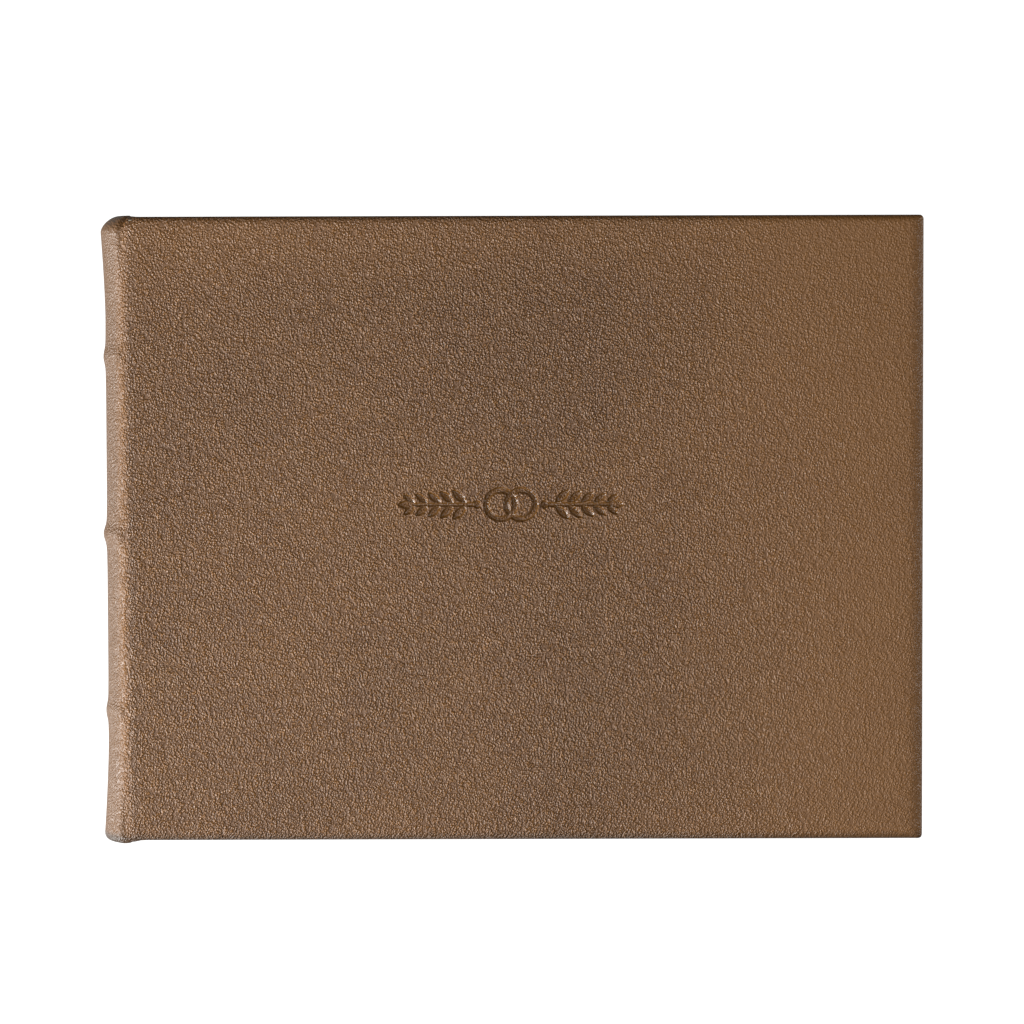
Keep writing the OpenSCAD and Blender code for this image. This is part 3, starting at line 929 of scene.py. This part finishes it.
OUTER_TRIM = 0.05  # a signature's outer sheet is worn this much shorter
BLOCK_BOTTOM = float(mm(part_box("back_flyleaf")[1])[2]) + 0.02
for k in range(1, SIGNATURES + 1):
    paths = []
    first = k == 1  # its upper leaves turn on their own
    missing = LOOSE if first else 0
    flat_top = BLOCK_BOTTOM + (SIGNATURES - k) * LEAVES * LEAF_T + (LEAVES - missing) * LEAF_T
    for m in range(4):
        ends = []
        for leaf in ((7 - m,) if first else (m, 7 - m)):
            z = flat_top - (leaf - missing + 0.5) * LEAF_T
            dz = fan(k - 1 + (leaf + 0.5) / LEAVES)
            fore = min(LEAF_W + fold_x(FOLD_R, dz), LEAF_X1)
            fore += rng.uniform(-0.03, 0.0) - (OUTER_TRIM if leaf in (0, 7) else 0.0)
            ends.append(leaf_path(k, leaf, z, fore))
        trim = (OUTER_TRIM if m == 0 else 0.0) + rng.uniform(0, 0.03)
        whole = ends[0] if first else ends[0] + ends[1][-2::-1]
        paths.append((whole, (-LEAF_Y + trim, LEAF_Y - trim)))
    sheets = strip(f"signature_{k:02d}_sheets", paths, SHEET_T, [LEAF, PAGE_EDGE])
    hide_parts(f"signature_{k:02d}")
    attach(sheets, "book_block")

BEND_STEPS = [0.15, 0.5, 0.9, 1.4, 2, 2.7, 3.4] + [4.2 + 0.8 * i for i in range(17)]  # from the hinge line
FLAT_XS = [HINGE + 25, -60, -30, 0, 30, 60, 90, LEAF_X1]


def loose_leaf(node, start_path, face):
    """A leaf as its own sheet: from its start past the hinge line in short steps, then flat to the fore edge.
    """
    lo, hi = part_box(node)
    z = float(mm(lo)[2] + mm(hi)[2]) / 2
    path = start_path(z) + [(x, z) for x in [HINGE + s for s in BEND_STEPS] + FLAT_XS]
    ends = (-LEAF_Y + END_GAP, LEAF_Y - END_GAP)
    ob = strip(f"{node}_sheet", [(path, ends)], SHEET_T, [face, PAGE_EDGE_BENT], CROSS_ROWS)
    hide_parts(node)
    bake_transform(ob)


def sewn_start(leaf):
    """The way from the fold to the hinge line for a leaf of the first signature."""
    return lambda z: [p for p in reversed(leaf_path(1, leaf, z, LEAF_X1)) if p[0] < HINGE]


def glued_start(z):
    """A flyleaf starts at the shoulder's wall."""
    return [(WALL + 0.02, z)]


for i in range(1, LOOSE + 1):
    loose_leaf(f"guest_leaf_{i}", sewn_start(i - 1), LEAF_RULED)
for side, axis in (("front", FRONT_AXIS), ("back", BACK_AXIS)):
    loose_leaf(f"{side}_flyleaf", glued_start, ENDPAPER_BENT)

# The endpaper's fold: up the shoulder, under the leather of the joint, and down the board's edge
FOLD_T = 0.06
FOLD_SHARES = (0, 0.2, 0.4, 0.6, 0.8, 0.93, 1.0)
for side, axis in (("front", FRONT_AXIS), ("back", BACK_AXIS)):
    flip = (lambda z: z) if side == "front" else (lambda z: TOP - z)
    leg_z, top_z = paste_hi[2], TOP - SKIN - FOLD_T
    a, b = WALL + 0.05, paste_lo[0] - 0.05
    path = [(a, flip(lerp(leg_z - 0.2, top_z, t))) for t in FOLD_SHARES]
    path += [((a + b) / 2, flip(top_z + 0.02))]
    path += [(b, flip(lerp(top_z, leg_z - 0.1, 1 - t))) for t in reversed(FOLD_SHARES)]
    if side == "front":
        path.reverse()
    ends = (-LEAF_Y + END_GAP, LEAF_Y - END_GAP)
    ob = strip(f"{side}_endpaper_fold", [(path, ends)], FOLD_T, [ENDPAPER_BENT, ENDPAPER_BENT], CROSS_ROWS)
    z = axis[2] * MM
    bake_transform(ob)

# ---------------------------------------------------------------- endbands


ENDBAND_R = FOLD_R - 0.7  # of the line that its core follows
ENDBAND_A = 34.0  # degrees either side of -X
CORE_R, SILK_RISE = 0.80, 0.19
WRAPS, PER_WRAP, AROUND = 32, 6, 18


def endband(name, node):
    """Silk wound over a core along the head or tail of the folds, two wraps of each colour by turns."""
    lo, hi = (mm(v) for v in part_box(node))
    mid_y = (lo[1] + hi[1]) / 2
    verts, faces, fm = [], [], []
    n = WRAPS * PER_WRAP + 1
    for i in range(n):
        t = i / (n - 1)
        a = math.radians(lerp(-ENDBAND_A, ENDBAND_A, t))
        silk_r = CORE_R + SILK_RISE * abs(math.sin(math.pi * t * WRAPS)) ** 0.45
        for j in range(AROUND):
            b = 2 * math.pi * j / AROUND + 0.25 * (t * WRAPS % 1)
            r = ENDBAND_R + silk_r * math.cos(b)
            y = mid_y + silk_r * math.sin(b)
            verts.append((BACK_X - r * math.cos(a), y, MID + r * math.sin(a)))
    for i in range(n - 1):
        for j in range(AROUND):
            a, b = i * AROUND + j, i * AROUND + (j + 1) % AROUND
            faces.append((a, b, b + AROUND, a + AROUND))
            fm.append((i // PER_WRAP) // 2 % 2)
    first = list(range(AROUND))
    faces += [tuple(reversed(first)), tuple((n - 1) * AROUND + j for j in first)]
    fm += [0, 0]
    ob = new_mesh(name, verts, faces, [SILK_GOLD, SILK_CREAM], fm)
    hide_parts(node)
    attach(ob, "book_block")


endband("head_band_silk", "head_band")
endband("tail_band_silk", "tail_band")

# ---------------------------------------------------------------- CAD nodes that stay

KEPT = {"spine_stiffener": BOARD, "spine_lining": KRAFT, "mull": MULL, "sewing_thread": THREAD,
        "head_cap_cord": CORD, "tail_cap_cord": CORD}
for side in ("front_", "back_"):
    KEPT.update({side + "board": BOARD, side + "infill": BOARD, side + "pastedown": ENDPAPER})
for i in (1, 2, 3):
    KEPT.update({f"raised_band_{i}": BOARD, f"sewing_tape_{i}": TAPE})
for node, material in KEPT.items():
    for s in frame["nodes"][node].material_slots:
        s.material = material

# ---------------------------------------------------------------- floor, light and camera


FLOOR_HALF, FLOOR_Z = 4.0, -0.25  # in metres; low enough for the opened back cover


def stage_floor():
    """A pale floor, which looks lit evenly and reflects little onto the book."""
    me = bpy.data.meshes.new("floor")
    s, z = FLOOR_HALF, FLOOR_Z
    me.from_pydata([(-s, -s, z), (s, -s, z), (s, s, z), (-s, s, z)], [], [(0, 1, 2, 3)])
    n = Nodes("floor_pale")
    grain = n.noise(n.object_mm(), 0.004, 3.0)
    n.set(Base_Color=n.mix(grain, color(0.28, 0.28, 0.28), color(0.31, 0.31, 0.31)), Roughness=0.9)
    seen = n.add("ShaderNodeLightPath").outputs["Is Camera Ray"]
    glow = n.add("ShaderNodeEmission", {"Color": color(1, 1, 1), "Strength": n.math("MULTIPLY", seen, 0.9)})
    both = n.add("ShaderNodeAddShader", {0: n.bsdf.outputs[0], 1: glow.outputs[0]})
    n.tree.links.new(both.outputs[0], n.out.inputs["Surface"])
    me.materials.append(n.mat)
    ob = bpy.data.objects.new("floor", me)
    bpy.context.scene.collection.objects.link(ob)


stage_floor()

# The surroundings look white, and light the book only faintly
SEEN_LIGHT, OWN_LIGHT = 0.93, 0.07
world = bpy.data.worlds.new("studio")
bpy.context.scene.world = world
world.use_nodes = True
wt = world.node_tree
wt.nodes.clear()
w_out = wt.nodes.new("ShaderNodeOutputWorld")
w_bg = wt.nodes.new("ShaderNodeBackground")
w_path = wt.nodes.new("ShaderNodeLightPath")
w_mul = wt.nodes.new("ShaderNodeMath")
w_mul.operation = "MULTIPLY_ADD"
w_mul.inputs[1].default_value = SEEN_LIGHT
w_mul.inputs[2].default_value = OWN_LIGHT
wt.links.new(w_path.outputs["Is Camera Ray"], w_mul.inputs[0])
wt.links.new(w_mul.outputs[0], w_bg.inputs["Strength"])
w_bg.inputs["Color"].default_value = (1, 1, 1, 1)
wt.links.new(w_bg.outputs[0], w_out.inputs[0])


def softbox(name, loc, aim, sx, sy, watts):
    """A rectangular lamp at loc, turned to aim, both in metres."""
    data = bpy.data.lights.new(name, "AREA")
    data.shape = "RECTANGLE"
    data.size, data.size_y = sx, sy
    data.energy = watts
    ob = bpy.data.objects.new(name, data)
    bpy.context.scene.collection.objects.link(ob)
    ob.location = loc
    ob.rotation_mode = "QUATERNION"
    ob.rotation_quaternion = (Vector(aim) - Vector(loc)).to_track_quat("-Z", "Y")
    ob.visible_camera = False


softbox("overhead", (-0.10, -0.05, 0.50), (-0.04, -0.02, 0), 0.4, 0.3, 1.36)
softbox("left_key", (-0.82, -0.28, 0.25), (0, 0, 0.01), 0.36, 0.46, 13.6)
softbox("right_rim", (0.9, 0.0, -0.03), (0.1, 0, 0.0), 0.12, 0.5, 2.6)

VIEW_W = 291.2256  # width of the view at the front cover
DIST = 1100.0
TILT = math.radians(3.0)  # from straight above, towards the head
ROLL_DEG = 0.16
SENSOR = 36.0
aim = Vector((0.3, 4.9, TOP)) * MM
cam_data = bpy.data.cameras.new("camera")
cam_data.sensor_width = SENSOR
cam_data.lens = SENSOR * DIST / VIEW_W
cam = bpy.data.objects.new("camera", cam_data)
bpy.context.scene.collection.objects.link(cam)
cam.location = aim + Vector((0, math.sin(TILT), math.cos(TILT))) * DIST * MM
# +Y stays up in the picture; the roll turns the book a little to the left
look = (aim - cam.location).normalized()
up = Vector((0, 1, 0))
right = look.cross(up).normalized()
up = right.cross(look).normalized()
basis = Matrix((right, up, -look)).transposed()
basis = basis @ Matrix.Rotation(math.radians(-ROLL_DEG), 3, "Z")
cam.matrix_world = Matrix.Translation(cam.location) @ basis.to_4x4()
cam_data.clip_start, cam_data.clip_end = 0.05, 20.0
bpy.context.scene.camera = cam
bpy.context.scene.view_settings.view_transform = "Standard"
